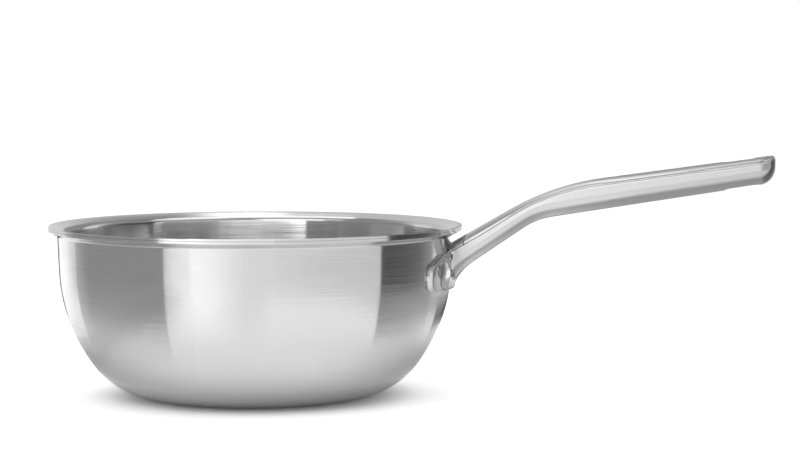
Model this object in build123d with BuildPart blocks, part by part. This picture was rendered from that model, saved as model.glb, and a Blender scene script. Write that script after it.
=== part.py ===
from build123d import *

import os
from math import asin, atan2, cos, degrees, hypot, radians, sin, sqrt, tan

# Saucier pan: a five-ply bowl with a flared lip, and a long hollow handle held by two rivets.
# Millimetres, +Z up. The origin is the centre of the flat base, on its underside. The bowl stands
# on the XY plane round the Z axis, and the handle points along +X.

os.makedirs("parts", exist_ok=True)

# ------------------------------------------------------------------ bowl: radii of its outside
rim_height = 107.0  # top of the rim above the hob
wall_radius = 123.0  # corner between the wall and the lip
lip_width = 5.5  # from that corner out to the cut edge
rim_radius = wall_radius + lip_width
wall_draft = 2.3  # degrees by which the wall opens upwards
side_bend = 105.0  # wide sweep from the wall down the side
base_bend = 50.0  # tighter sweep from the side into the base
base_radius = 61.0  # flat that stands on the hob
lip_slope = 25.0  # degrees of the lip above level
lip_bend = 1.2  # bend between the wall and the underside of the lip
rim_break = 0.22  # rounding of the rim's two cut corners

# The bonded sheet, from the outside in.
plies = {
    "outer_shell": 0.45,  # magnetic stainless, brushed
    "outer_aluminium": 0.95,
    "steel_core": 0.30,
    "inner_aluminium": 0.95,
    "inner_liner": 0.45,  # stainless, the cooking surface
}
sheet = sum(plies.values())

# ------------------------------------------------------------------ flange on the wall
flange_thick = 3.2
flange_below_rim = 15.6  # from the rim down to its upper edge beside the stem
flange_tall = 23.1
flange_high = rim_height - flange_below_rim
flange_low = flange_high - flange_tall
flange_half = 42.8  # from the handle's middle to its end
flange_shoulder = 26.0  # where the upper edge starts to fall away
flange_drop = 7.5  # how far it has fallen at the end
flange_low_corner = 8.5
flange_high_corner = 7.5
flange_shoulder_bend = 22.0
flange_edge = 1.3  # rounding of its outer edge

# ------------------------------------------------------------------ rivets
rivet_offset = 23.7  # from the handle's middle to the rivet's axis
rivet_height = (flange_low + flange_high) / 2
shank_radius = 4.0
hole_clearance = 0.08
outer_head_radius = 9.8
outer_head_edge = 0.9  # straight edge under the dome
outer_head_dome = 1.6
inner_head_radius = 7.5
inner_head_edge = 0.7
inner_head_dome = 1.4
spot_face_gap = 0.6  # ring of shadow round the outer head
spot_face_depth = 1.0

# ------------------------------------------------------------------ handle: side view
# Lengths along the handle are from the wall's corner, and heights are above the rivets.
handle_length = 197.0
handle_reach = wall_radius + handle_length  # tip from the bowl's axis
under_knee = (wall_radius + 53.0, rivet_height + 31.9)  # where the underside's two runs would meet
under_slopes = (34.2, 9.2)  # degrees of the stem and of the grip
under_knee_bend = 42.0
top_knee = (wall_radius + 63.0, rivet_height + 53.3)
top_slopes = (30.0, 8.0)
top_knee_bend = 160.0
end_low_corner = 8.5
end_high_corner = 3.0
end_overlap = 0.12  # how far each corner's arc crosses the faces that it joins

# ------------------------------------------------------------------ handle: plan and section
stem_width = 20.0
grip_width = 26.0
end_width = 24.0
stem_until = wall_radius + 42.0  # the stem's width holds up to here
grip_from = wall_radius + 112.0  # and the grip has its full width from here
end_plan_corner = 9.0
root_flare = 2.5  # how far each side spreads into the flange
root_drop = 4.0  # how far the underside spreads into it
root_length = 13.0  # length of that spread
root_start = wall_radius - 6.0  # where the stem starts, inside the wall that then cuts it
station_step = 6.0  # spacing of the sections that the handle is drawn through
stem_crown = 4.6  # rise of the crowned top above its ridges
grip_crown = 2.5
stem_crown_until = wall_radius + 13.0
grip_crown_from = wall_radius + 59.0
belly = 9.0  # height of the widest place above the underside
ridge_inset = 2.5  # from the widest place in to the ridge
land_drop = 0.9  # from the ridge down to the land beside it
land_width = 0.9  # flat land between the ridge and the rounded shoulder
shoulder_height = 2.0  # height that the shoulder's rounding takes
shoulder_lean = 0.25  # how far the side has leaned in below the shoulder

# ------------------------------------------------------------------ top cover and the hollow
cover_from = wall_radius + 9.0
cover_tip_gap = 4.0  # from the cover's end to the tip
groove = 0.45  # visible gap round the cover
cover_thick = 2.1  # at the cover's edge
cover_edge = 0.35  # bevel along the cover's upper edge
cover_seat_gap = 0.05  # bond between the cover and its seat
seat_width = 2.2  # ledge that carries the cover
hollow_from = wall_radius + 23.0
hollow_until = handle_reach - 36.0
hollow_wall = 2.4

# ------------------------------------------------------------------ hanging slot
slot_middle = handle_reach - 19.5
slot_length = 22.0
slot_width = 9.5
slot_edge = 0.8  # bevel round the slot's mouth on the underside


# ================================================================== bowl geometry
# In the bowl's half section x is the radius and y the height.
wall_out = Vector(cos(radians(wall_draft)), -sin(radians(wall_draft)))  # square to the wall
wall_up = Vector(sin(radians(wall_draft)), cos(radians(wall_draft)))
lip_out = Vector(sin(radians(lip_slope)), -cos(radians(lip_slope)))  # square to the lip's underside
lip_rise = (rim_radius - wall_radius) * tan(radians(lip_slope))
lip_corner = Vector(wall_radius, rim_height - sheet / cos(radians(lip_slope)) - lip_rise)
lip_centre = lip_corner + (wall_out + lip_out) * (lip_bend / (1 + wall_out.dot(lip_out)))

base_centre = Vector(base_radius, base_bend)
# The side's centre lies side_bend inside the wall and side_bend - base_bend from the base's centre.
to_wall = lip_corner - wall_out * side_bend - base_centre
along = to_wall.dot(wall_up)
slide = -along + sqrt(along**2 - to_wall.dot(to_wall) + (side_bend - base_bend) ** 2)
side_centre = base_centre + to_wall + wall_up * slide
joint_way = base_centre - side_centre
joint_angle = degrees(atan2(joint_way.Y, joint_way.X))
wall_start = side_centre + wall_out * side_bend


def trace_side(depth):
    """Draws the surface that lies depth inside the bowl's outside, from the axis to the wall's top."""
    Line((0, depth), (base_radius, depth))
    CenterArc(base_centre, base_bend - depth, -90, joint_angle + 90)
    CenterArc(side_centre, side_bend - depth, joint_angle, -wall_draft - joint_angle)
    return side_centre + wall_out * (side_bend - depth)


def trace_bowl(depth):
    """Goes on from trace_side over the lip's bend to the rim, and returns the rim's point."""
    foot = trace_side(depth)
    bend = lip_bend + depth
    head = lip_centre - wall_out * bend
    Line(foot, head)
    CenterArc(lip_centre, bend, 180 - wall_draft, wall_draft + lip_slope - 90)
    rim = Vector(rim_radius, rim_height - (sheet - depth) / cos(radians(lip_slope)))
    Line(lip_centre - lip_out * bend, rim)
    return rim


def trace_ply(outside, inside):
    """The half section of one ply, between two depths."""
    low_rim = trace_bowl(outside)
    high_rim = trace_bowl(inside)
    Line(low_rim, high_rim)
    Line((0, outside), (0, inside))


def trace_wall(outside, inside):
    """The half section of a layer that ends below the lip."""
    for depth in (outside, inside):
        Line(trace_side(depth), lip_corner - wall_out * depth)
    Line(lip_corner - wall_out * outside, lip_corner - wall_out * inside)
    Line((0, outside), (0, inside))


def trace_within_wall():
    """The half section of everything within the bowl's outside, up to the lip."""
    Polyline(trace_side(0), lip_corner, (0, lip_corner.Y), (0, 0))


def outside_at(height):
    """Radius of the bowl's outside at a height, and the degrees that its normal points down."""
    if height >= wall_start.Y:
        return wall_start.X + (height - wall_start.Y) * tan(radians(wall_draft)), wall_draft
    fall = asin((side_centre.Y - height) / side_bend)
    return side_centre.X + side_bend * cos(fall), degrees(fall)


# ================================================================== rivet places
rivet_wall_radius, rivet_tilt = outside_at(rivet_height)
rivet_turn = degrees(asin(rivet_offset / (rivet_wall_radius + flange_thick)))
rivet_seat = flange_thick - spot_face_depth  # floor of the spot face, measured from the wall


class RivetPlace:
    """The axis of one rivet, from the point where it leaves the bowl's outside."""

    def __init__(self, side):
        turn = radians(side * rivet_turn)
        tilt = radians(rivet_tilt)
        self.start = Vector(
            rivet_wall_radius * cos(turn), rivet_wall_radius * sin(turn), rivet_height
        )
        self.out = Vector(cos(tilt) * cos(turn), cos(tilt) * sin(turn), -sin(tilt))
        self.up = Vector(sin(tilt) * cos(turn), sin(tilt) * sin(turn), cos(tilt))
        self.axis = Axis(self.start, self.out)
        self.profile = Plane(self.start, x_dir=self.up, z_dir=self.up.cross(self.out))

    def face(self, height):
        """The plane square to the rivet at a height above the bowl's outside."""
        return Plane(self.start + self.out * height, x_dir=self.up, z_dir=self.out)


# The cook who holds the handle has -Y on the left.
rivet_places = {"rivet_left": RivetPlace(-1), "rivet_right": RivetPlace(1)}


# ================================================================== the five plies of the bowl
depth = 0.0
for name, thickness in plies.items():
    with BuildPart() as ply:
        with BuildSketch(Plane.XZ) as half_section:
            with BuildLine():
                trace_ply(depth, depth + thickness)
            make_face()
            rim_corners = half_section.vertices().sort_by(Axis.X)[-2:].sort_by(Axis.Y)
            if name == "outer_shell":
                fillet(rim_corners[0], rim_break)
            if name == "inner_liner":
                fillet(rim_corners[-1], rim_break)
        revolve(axis=Axis.Z)
        for place in rivet_places.values():
            with BuildSketch(place.face(0)):
                Circle(shank_radius + hole_clearance)
            extrude(amount=2 * sheet, both=True, mode=Mode.SUBTRACT)
    ply.part.label = name
    export_step(ply.part, f"parts/{name}.step")
    depth += thickness


# ================================================================== rivets
def trace_head(radius, edge, dome, foot, way):
    """Half of a domed head whose flat side is at foot, and which grows the given way."""
    rim_level = foot + way * edge
    crest = rim_level + way * dome
    dome_radius = (radius**2 + dome**2) / (2 * dome)
    sagitta = dome_radius - sqrt(dome_radius**2 - (radius / 2) ** 2)
    Polyline((0, crest), (0, foot), (radius, foot), (radius, rim_level))
    ThreePointArc((radius, rim_level), (radius / 2, crest - way * sagitta), (0, crest))


for name, place in rivet_places.items():
    with BuildPart() as rivet:
        # The inner head starts inside the sheet, and the wall then gives it its seat.
        with BuildSketch(place.profile):
            with BuildLine():
                head_foot = -sheet / 2
                head_edge = inner_head_edge + sheet / 2
                trace_head(inner_head_radius, head_edge, inner_head_dome, head_foot, -1)
            make_face()
        revolve(axis=place.axis)
        with BuildSketch(Plane.XZ):
            with BuildLine():
                trace_wall(0, sheet)
            make_face()
        revolve(axis=Axis.Z, mode=Mode.SUBTRACT)
        with BuildSketch(place.face(-sheet - inner_head_edge)):
            Circle(shank_radius)
        extrude(amount=sheet + inner_head_edge + rivet_seat)
        with BuildSketch(place.profile):
            with BuildLine():
                trace_head(outer_head_radius, outer_head_edge, outer_head_dome, rivet_seat, 1)
            make_face()
        revolve(axis=place.axis)
    rivet.part.label = name
    export_step(rivet.part, f"parts/{name}.step")


# ================================================================== handle geometry
def ease(reach, start, end, before, after):
    """A value that goes smoothly from before to after between two reaches."""
    share = min(max((reach - start) / (end - start), 0), 1)
    return before + (after - before) * share**2 * (3 - 2 * share)


def two_runs(reach, knee, slopes, bend):
    """Height at a reach of two straight runs that are joined by an arc at a knee."""
    first, second = (radians(slope) for slope in slopes)
    tangent = bend * tan((first - second) / 2)
    start = knee[0] - tangent * cos(first)
    end = knee[0] + tangent * cos(second)
    if reach <= start:
        return knee[1] + (reach - knee[0]) * tan(first)
    if reach >= end:
        return knee[1] + (reach - knee[0]) * tan(second)
    centre_reach = start + bend * sin(first)
    centre_height = knee[1] - tangent * sin(first) - bend * cos(first)
    return centre_height + sqrt(bend**2 - (reach - centre_reach) ** 2)


root_reach = wall_radius + flange_thick  # outer face of the flange


def spread(reach):
    """From 1 at the flange down to 0 where the stem has its own shape."""
    share = min(max((root_reach + root_length - reach) / root_length, 0), 1)
    return share**3


def under(reach):
    """Height of the underside."""
    return two_runs(reach, under_knee, under_slopes, under_knee_bend) - root_drop * spread(reach)


def top(reach):
    """Height of the crown's crest."""
    return two_runs(reach, top_knee, top_slopes, top_knee_bend)


def half_width(reach):
    grip = ease(reach, stem_until, grip_from, stem_width, grip_width)
    taper = ease(reach, grip_from, handle_reach, 0, end_width - grip_width)
    return (grip + taper) / 2 + root_flare * spread(reach)


def crown(reach):
    return ease(reach, stem_crown_until, grip_crown_from, stem_crown, grip_crown)


def ridge_half(reach):
    return half_width(reach) - ridge_inset


def ridge(reach):
    """Height of the ridges, where the crowned top starts."""
    return top(reach) - crown(reach)


def cover_seat(reach):
    """Height of the cover's underside."""
    return ridge(reach) - cover_thick


def section_plane(reach):
    """An upright plane across the handle, with x to the side and y up from the hob."""
    return Plane((reach, 0, 0), x_dir=(0, 1, 0), z_dir=(1, 0, 0))


def trace_handle(reach):
    """The handle's outer section: a round belly, two shoulders, two lands and a crowned top."""
    half, narrow = half_width(reach), ridge_half(reach)
    middle, high = under(reach) + belly, ridge(reach)
    land = high - land_drop
    EllipticalCenterArc((0, middle), half, belly, start_angle=180, arc_size=180)
    for side in (1, -1):
        Spline(
            (side * half, middle),
            (side * (half - shoulder_lean), land - shoulder_height),
            (side * (narrow + land_width), land),
            tangents=[(0, 1), (-side, 0)],
        )
        Polyline((side * (narrow + land_width), land), (side * narrow, land), (side * narrow, high))
    ThreePointArc((narrow, high), (0, top(reach)), (-narrow, high))


def trace_pocket(reach):
    """What is cut away for the cover, from its seat up through the top."""
    side = ridge_half(reach) + groove
    seat = cover_seat(reach) - cover_seat_gap
    sky = top(reach) + crown(reach)
    Polyline((-side, seat), (side, seat), (side, sky), (-side, sky), close=True)


def trace_cover(reach):
    """The cover's section, whose top is the handle's own crown."""
    side, high, rise = ridge_half(reach), ridge(reach), crown(reach)
    seat = cover_seat(reach)
    radius = (side**2 + rise**2) / (2 * rise)
    edge = side - cover_edge
    edge_height = top(reach) - radius + sqrt(radius**2 - edge**2)
    Polyline(
        (-edge, edge_height), (-side, high - cover_edge), (-side, seat),
        (side, seat), (side, high - cover_edge), (edge, edge_height),
    )
    ThreePointArc((edge, edge_height), (0, top(reach)), (-edge, edge_height))


def trace_hollow(reach):
    """The hollow under the cover, which leaves a wall all round and a ledge on each side."""
    mouth = ridge_half(reach) + groove - seat_width
    waist = half_width(reach) - hollow_wall
    floor = under(reach) + hollow_wall
    lip = cover_seat(reach)
    shelf = lip - hollow_wall / 2
    knee = under(reach) + belly
    Polyline(
        (-mouth, lip), (-mouth, shelf), (-waist, knee), (-waist / 2, floor),
        (waist / 2, floor), (waist, knee), (mouth, shelf), (mouth, lip), close=True,
    )


def trace_cover_hollow(reach):
    """The arched hollow under the cover's crown, between its two seats."""
    inner = ridge_half(reach) - seat_width
    seat = cover_seat(reach)
    below = seat - cover_thick
    Polyline((-inner, seat), (-inner, below), (inner, below), (inner, seat))
    ThreePointArc((inner, seat), (0, top(reach) - cover_thick), (-inner, seat))


def stations(start, end, spacing):
    """Evenly spaced reaches from start to end, about spacing apart."""
    count = max(3, round((end - start) / spacing))
    return [start + (end - start) * step / count for step in range(count + 1)]


def trace_end_plan(tip, half, corner):
    """Plan that rounds an end at tip to its half width, and leaves all before the end whole."""
    wide = 2 * grip_width
    for side in (1, -1):
        CenterArc((tip - corner, side * (half - corner)), corner, 0, side * 90)
        Polyline((tip - corner, side * half), (tip - corner, side * wide), (0, side * wide))
    Line((tip, half - corner), (tip, corner - half))
    Line((0, wide), (0, -wide))


def trace_end_corner(height, slope, corner, way):
    """Side view of what a rounded corner takes off the end, above (1) or below (-1)."""
    centre = Vector(handle_reach - corner + end_overlap, height - way * (corner - end_overlap))
    turn = way * (90 + way * slope)
    start = centre + Vector(cos(radians(turn)), sin(radians(turn))) * corner
    far = Vector(handle_reach + corner, height + 2 * way * corner)
    CenterArc(centre, corner, 0, turn)
    Polyline(centre + Vector(corner, 0), (far.X, centre.Y), far, (start.X, far.Y), start)


# ================================================================== flange
def is_outside_flange(point):
    """Whether a point lies on the side of the flange that is turned away from the wall."""
    return hypot(point.X, point.Y) > outside_at(point.Z)[0] + flange_thick / 2


with BuildPart() as flange:
    with BuildSketch(Plane.YZ.offset(wall_radius / 2)):
        with BuildLine() as right_half:
            FilletPolyline(
                (0, flange_low), (flange_half, flange_low),
                (flange_half, flange_high - flange_drop), (flange_shoulder, flange_high),
                (0, flange_high),
                radius=[flange_low_corner, flange_high_corner, flange_shoulder_bend],
            )
            mirror(about=Plane.YZ)
        make_face()
    extrude(amount=wall_radius)
    with BuildSketch(Plane.XZ):
        with BuildLine():
            trace_wall(-flange_thick, 0)
        make_face()
    revolve(axis=Axis.Z, mode=Mode.INTERSECT)
    # Every edge of the outer face but the one that runs across its middle.
    outer_edges = flange.edges().filter_by(lambda edge: is_outside_flange(edge @ 0.5))
    fillet(outer_edges.filter_by(lambda edge: abs((edge @ 0.5).Y) > flange_edge), flange_edge)

# ================================================================== cut-outs of the handle
cover_tip = handle_reach - cover_tip_gap
cover_half = ridge_half(cover_tip)
cover_corner = end_plan_corner - ridge_inset

with BuildPart() as pocket:
    for reach in stations(cover_from - groove, cover_tip + groove, station_step):
        with BuildSketch(section_plane(reach)):
            with BuildLine():
                trace_pocket(reach)
            make_face()
    loft()
    with BuildSketch(Plane.XY):
        with BuildLine():
            trace_end_plan(cover_tip + groove, cover_half + groove, cover_corner + groove)
        make_face()
    extrude(amount=handle_reach, mode=Mode.INTERSECT)

slot_slope = radians((under_slopes[1] + top_slopes[1]) / 2)
slot_foot = Plane(
    (slot_middle, 0, under(slot_middle)),
    x_dir=(cos(slot_slope), 0, sin(slot_slope)),
    z_dir=(-sin(slot_slope), 0, cos(slot_slope)),
)

# ================================================================== handle casting
with BuildPart() as handle_casting:
    for reach in stations(root_start, handle_reach + station_step, station_step):
        with BuildSketch(section_plane(reach)):
            with BuildLine():
                trace_handle(reach)
            make_face()
    loft()
    # The rounded end.
    with BuildSketch(Plane.XY):
        with BuildLine():
            trace_end_plan(handle_reach, end_width / 2 - end_overlap, end_plan_corner)
        make_face()
    extrude(amount=handle_reach, mode=Mode.INTERSECT)
    with BuildSketch(Plane.XZ):
        with BuildLine():
            trace_end_corner(under(handle_reach - end_low_corner), under_slopes[1], end_low_corner, -1)
        make_face()
        with BuildLine():
            trace_end_corner(top(handle_reach - end_high_corner), top_slopes[1], end_high_corner, 1)
        make_face()
    extrude(amount=grip_width, both=True, mode=Mode.SUBTRACT)
    # The root, which follows the wall.
    with BuildSketch(Plane.XZ):
        with BuildLine():
            trace_within_wall()
        make_face()
    revolve(axis=Axis.Z, mode=Mode.SUBTRACT)
    add(flange.part)
    add(pocket.part, mode=Mode.SUBTRACT)
    for reach in stations(hollow_from, hollow_until, station_step):
        with BuildSketch(section_plane(reach)):
            with BuildLine():
                trace_hollow(reach)
            make_face()
    loft(mode=Mode.SUBTRACT)
    # The hanging slot and the bevel of its lower mouth.
    with BuildSketch(slot_foot):
        SlotOverall(slot_length, slot_width)
    extrude(amount=grip_width, both=True, mode=Mode.SUBTRACT)
    with BuildSketch(slot_foot):
        SlotOverall(slot_length + 4 * slot_edge, slot_width + 4 * slot_edge)
    extrude(amount=2 * slot_edge, taper=45, mode=Mode.SUBTRACT)
    # Seats and holes of the rivets.
    for place in rivet_places.values():
        with BuildSketch(place.face(rivet_seat)):
            Circle(outer_head_radius + spot_face_gap)
        extrude(amount=outer_head_radius, mode=Mode.SUBTRACT)
        with BuildSketch(place.face(0)):
            Circle(shank_radius + hole_clearance)
        extrude(amount=2 * flange_thick, both=True, mode=Mode.SUBTRACT)
handle_casting.part.label = "handle_casting"
export_step(handle_casting.part, "parts/handle_casting.step")

# ================================================================== handle cover
with BuildPart() as handle_cover:
    for reach in stations(cover_from, cover_tip, station_step):
        with BuildSketch(section_plane(reach)):
            with BuildLine():
                trace_cover(reach)
            make_face()
    loft()
    with BuildSketch(Plane.XY):
        with BuildLine():
            trace_end_plan(cover_tip, cover_half, cover_corner)
        make_face()
    extrude(amount=handle_reach, mode=Mode.INTERSECT)
    for reach in stations(hollow_from, hollow_until, station_step):
        with BuildSketch(section_plane(reach)):
            with BuildLine():
                trace_cover_hollow(reach)
            make_face()
    loft(mode=Mode.SUBTRACT)
    with BuildSketch(slot_foot):
        SlotOverall(slot_length, slot_width)
    extrude(amount=grip_width, both=True, mode=Mode.SUBTRACT)
handle_cover.part.label = "handle_cover"
export_step(handle_cover.part, "parts/handle_cover.step")
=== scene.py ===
# %% [markdown]
# # A saucier pan
#
# The pan is a round bowl pressed from a bonded five-ply sheet, with a long cast handle that two
# rivets hold on its wall. The CAD model comes in as a fixed frame. On top of it this lesson makes
# the surfaces that a cook sees: brushed steel outside, satin steel inside, the striped cut edge of
# the rim, and the polished handle.

# %% Load the frame
from math import asin, atan2, cos, pi, radians, sin, sqrt, tan

import bpy
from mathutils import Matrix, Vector


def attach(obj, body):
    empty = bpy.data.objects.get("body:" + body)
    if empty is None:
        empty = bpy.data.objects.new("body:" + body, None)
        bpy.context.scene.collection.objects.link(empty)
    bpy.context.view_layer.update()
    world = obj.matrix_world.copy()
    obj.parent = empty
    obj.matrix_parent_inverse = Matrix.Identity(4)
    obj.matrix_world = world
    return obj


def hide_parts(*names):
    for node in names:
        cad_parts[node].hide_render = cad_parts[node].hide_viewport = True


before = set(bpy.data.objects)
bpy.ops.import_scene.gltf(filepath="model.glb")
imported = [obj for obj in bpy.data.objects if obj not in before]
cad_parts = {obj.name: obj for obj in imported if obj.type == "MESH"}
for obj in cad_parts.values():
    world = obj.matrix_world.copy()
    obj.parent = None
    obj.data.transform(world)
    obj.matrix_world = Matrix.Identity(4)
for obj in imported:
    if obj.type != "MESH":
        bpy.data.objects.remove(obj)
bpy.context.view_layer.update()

MM = 0.001
MERGE_DISTANCE = 1e-6  # metres; points nearer to each other than this become one
print("nodes in the frame:", sorted(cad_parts))

# %% [markdown]
# ## Selecting
#
# An operator in Blender acts on whatever is selected, so each step starts from a clean selection.


# %% Helper for selecting
def select_only(*objects):
    """Leaves edit mode and selects these objects, the first of them active."""
    if bpy.context.object and bpy.context.object.mode != "OBJECT":
        bpy.ops.object.mode_set(mode="OBJECT")
    bpy.ops.object.select_all(action="DESELECT")
    for item in objects:
        item.select_set(True)
    if objects:
        bpy.context.view_layer.objects.active = objects[0]


# %% [markdown]
# ## The bowl's half section
#
# A press forms the whole sheet at once, so the five plies follow one another at a fixed distance.
# Each surface is therefore worked out from the outside of the bowl and a depth inwards. The
# section has a flat base, a tight sweep, a wide sweep, a straight wall with a little draft, a sharp
# bend and a short sloping lip. Arcs are given many points here, because a mirror-like wall shows
# every facet.

# %% Sizes of the bowl, in millimetres
RIM_HEIGHT = 107.0
WALL_RADIUS = 123.0
LIP_WIDTH = 5.5
RIM_RADIUS = WALL_RADIUS + LIP_WIDTH
WALL_DRAFT = radians(2.3)
SIDE_BEND = 105.0
BASE_BEND = 50.0
BASE_RADIUS = 61.0
LIP_SLOPE = radians(25.0)
LIP_BEND = 1.2
RIM_BREAK = 0.22
PLIES = (
    ("outer_shell", 0.45),
    ("outer_aluminium", 0.95),
    ("steel_core", 0.30),
    ("inner_aluminium", 0.95),
    ("inner_liner", 0.45),
)
SHEET = sum(thickness for _, thickness in PLIES)

wall_out = Vector((cos(WALL_DRAFT), -sin(WALL_DRAFT)))
wall_up = Vector((sin(WALL_DRAFT), cos(WALL_DRAFT)))
lip_out = Vector((sin(LIP_SLOPE), -cos(LIP_SLOPE)))
lip_rise = LIP_WIDTH * tan(LIP_SLOPE)
lip_corner = Vector((WALL_RADIUS, RIM_HEIGHT - SHEET / cos(LIP_SLOPE) - lip_rise))
lip_centre = lip_corner + (wall_out + lip_out) * (LIP_BEND / (1 + wall_out.dot(lip_out)))
base_centre = Vector((BASE_RADIUS, BASE_BEND))
to_wall = lip_corner - wall_out * SIDE_BEND - base_centre
along = to_wall.dot(wall_up)
slide = -along + sqrt(along**2 - to_wall.dot(to_wall) + (SIDE_BEND - BASE_BEND) ** 2)
side_centre = base_centre + to_wall + wall_up * slide
joint_way = base_centre - side_centre
joint_angle = atan2(joint_way.y, joint_way.x)
print("the straight wall starts at", round((side_centre + wall_out * SIDE_BEND).y, 1), "mm")


# %% Points along one surface of the sheet
SWEEP_STEPS, LIP_STEPS, BREAK_STEPS = 24, 10, 4


def arc_points(centre, radius, start, end, count):
    """Points on an arc, both ends included."""
    turns = [start + (end - start) * step / count for step in range(count + 1)]
    return [centre + Vector((cos(turn), sin(turn))) * radius for turn in turns]


def surface_points(depth):
    """The surface that lies depth inside the bowl's outside, from the base's middle to the rim."""
    points = [Vector((BASE_RADIUS * share, depth)) for share in (0, 0.25, 0.5, 0.75)]
    points += arc_points(base_centre, BASE_BEND - depth, -pi / 2, joint_angle, SWEEP_STEPS)
    points += arc_points(side_centre, SIDE_BEND - depth, joint_angle, -WALL_DRAFT, SWEEP_STEPS)[1:]
    bend = LIP_BEND + depth
    foot, head = points[-1], lip_centre - wall_out * bend
    points += [foot.lerp(head, share) for share in (0.34, 0.67)]
    points += arc_points(lip_centre, bend, pi - WALL_DRAFT, pi / 2 + LIP_SLOPE, LIP_STEPS)
    rim = Vector((RIM_RADIUS, RIM_HEIGHT - (SHEET - depth) / cos(LIP_SLOPE)))
    return points + [points[-1].lerp(rim, 0.5), rim]


def rounded_corner(before, corner, after, radius):
    """Points of a small arc that rounds a corner between two neighbours."""
    back, forth = (before - corner).normalized(), (after - corner).normalized()
    half = back.angle(forth) / 2
    centre = corner + (back + forth).normalized() * (radius / sin(half))
    first = corner + back * (radius / tan(half))
    last = corner + forth * (radius / tan(half))
    start = atan2(first.y - centre.y, first.x - centre.x)
    end = atan2(last.y - centre.y, last.x - centre.x)
    if end - start > pi:
        end -= 2 * pi
    if start - end > pi:
        end += 2 * pi
    return arc_points(centre, radius, start, end, BREAK_STEPS)


print("each surface has", len(surface_points(0)), "points from the base's middle to the rim")

# %% [markdown]
# ## Spinning the plies
#
# Each ply is drawn as one vertex that is extruded point by point round its half section, as a
# turner would trace a template, and is then spun a full turn about the bowl's axis. A spin gives
# evenly spaced faces all round, so the reflections in the wall stay straight. The outer shell and
# the inner liner get a small rounding at the rim, where the polishing wheel broke the cut edge.

# %% Trace and spin
SPIN_STEPS = 288
PLY_SHARP_FROM = radians(25)


def spin_outline(outline):
    """Extrudes one vertex along an outline from axis to axis, and spins it about Z."""
    select_only()
    bpy.ops.mesh.primitive_plane_add(size=MM)
    piece = bpy.context.object
    bpy.ops.object.mode_set(mode="EDIT")
    bpy.ops.mesh.select_all(action="SELECT")
    bpy.ops.mesh.merge(type="CENTER")
    places = [Vector((point.x * MM, 0, point.y * MM)) for point in outline]
    bpy.ops.transform.translate(value=places[0])
    for here, there in zip(places, places[1:]):
        bpy.ops.mesh.extrude_region_move(TRANSFORM_OT_translate={"value": there - here})
    bpy.ops.mesh.select_all(action="SELECT")
    bpy.ops.mesh.spin(steps=SPIN_STEPS, angle=2 * pi, center=(0, 0, 0), axis=(0, 0, 1))
    bpy.ops.mesh.select_all(action="SELECT")
    bpy.ops.mesh.remove_doubles(threshold=MERGE_DISTANCE)
    bpy.ops.mesh.normals_make_consistent(inside=False)
    bpy.ops.object.mode_set(mode="OBJECT")
    return piece


ply_pieces = {}
depth = 0.0
for name, thickness in PLIES:
    low, high = surface_points(depth), surface_points(depth + thickness)
    if name == "outer_shell":
        low[-1:] = rounded_corner(low[-2], low[-1], high[-1], RIM_BREAK)
    if name == "inner_liner":
        high[-1:] = reversed(rounded_corner(low[-1], high[-1], high[-2], RIM_BREAK))
    ply = spin_outline(low + high[::-1])
    select_only(ply)
    bpy.ops.object.shade_smooth_by_angle(angle=PLY_SHARP_FROM)
    ply_pieces[name] = ply
    depth += thickness
    print(name, "is", thickness, "mm thick and lies", round(depth, 2), "mm deep in the sheet")

# %% [markdown]
# ## The handle
#
# The real handle is an investment casting, tumbled and polished, so it has no flat facet anywhere.
# The CAD handle's triangles are too coarse for that. Its long curves are lofted here instead: a
# grid is wrapped through many cross sections, each worked out from the same runs, bends and widths
# as the CAD handle. The end is rounded by drawing the last sections in.

# %% Sizes of the handle, in millimetres
HANDLE_REACH = WALL_RADIUS + 197.0
RIVET_HEIGHT = 79.85
UNDER_KNEE = (WALL_RADIUS + 53.0, RIVET_HEIGHT + 31.9)
UNDER_SLOPES = (radians(34.2), radians(9.2))
UNDER_BEND = 42.0
TOP_KNEE = (WALL_RADIUS + 63.0, RIVET_HEIGHT + 53.3)
TOP_SLOPES = (radians(30.0), radians(8.0))
TOP_BEND = 160.0
STEM_WIDTH, GRIP_WIDTH, END_WIDTH = 20.0, 26.0, 24.0
STEM_UNTIL, GRIP_FROM = WALL_RADIUS + 42.0, WALL_RADIUS + 112.0
END_PLAN_CORNER, END_LOW_CORNER, END_HIGH_CORNER = 9.0, 8.5, 3.0
ROOT_REACH = WALL_RADIUS + 3.2
ROOT_FLARE, ROOT_DROP, ROOT_LENGTH = 2.5, 4.0, 13.0
STEM_CROWN, GRIP_CROWN = 4.6, 2.5
STEM_CROWN_UNTIL, GRIP_CROWN_FROM = WALL_RADIUS + 13.0, WALL_RADIUS + 59.0
BELLY = 9.0
RIDGE_INSET = 2.5
LAND_DROP, LAND_WIDTH = 0.9, 0.9
SHOULDER_HEIGHT, SHOULDER_LEAN = 2.0, 0.25
COVER_FROM, COVER_TIP = WALL_RADIUS + 9.0, HANDLE_REACH - 4.0
COVER_THICK, COVER_EDGE, GROOVE, SEAT_GAP = 2.1, 0.35, 0.45, 0.05
POCKET_FROM, POCKET_TIP = COVER_FROM - GROOVE, COVER_TIP + GROOVE
COVER_CORNER = END_PLAN_CORNER - RIDGE_INSET
SLOT_MIDDLE, SLOT_LENGTH, SLOT_WIDTH, SLOT_EDGE = HANDLE_REACH - 19.5, 22.0, 9.5, 0.8
SLEEVE_FROM = 126.5  # where the flange's piece ends and the lofted sleeve starts
print("the handle ends", HANDLE_REACH, "mm from the bowl's axis")


# %% Lines of the handle along its length
def soften(share):
    """A share from 0 to 1 that starts and ends gently."""
    return share**2 * (3 - 2 * share)


def ease(reach, start, end, before, after):
    """A value that goes smoothly from before to after between two reaches."""
    share = min(max((reach - start) / (end - start), 0), 1)
    return before + (after - before) * soften(share)


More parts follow.
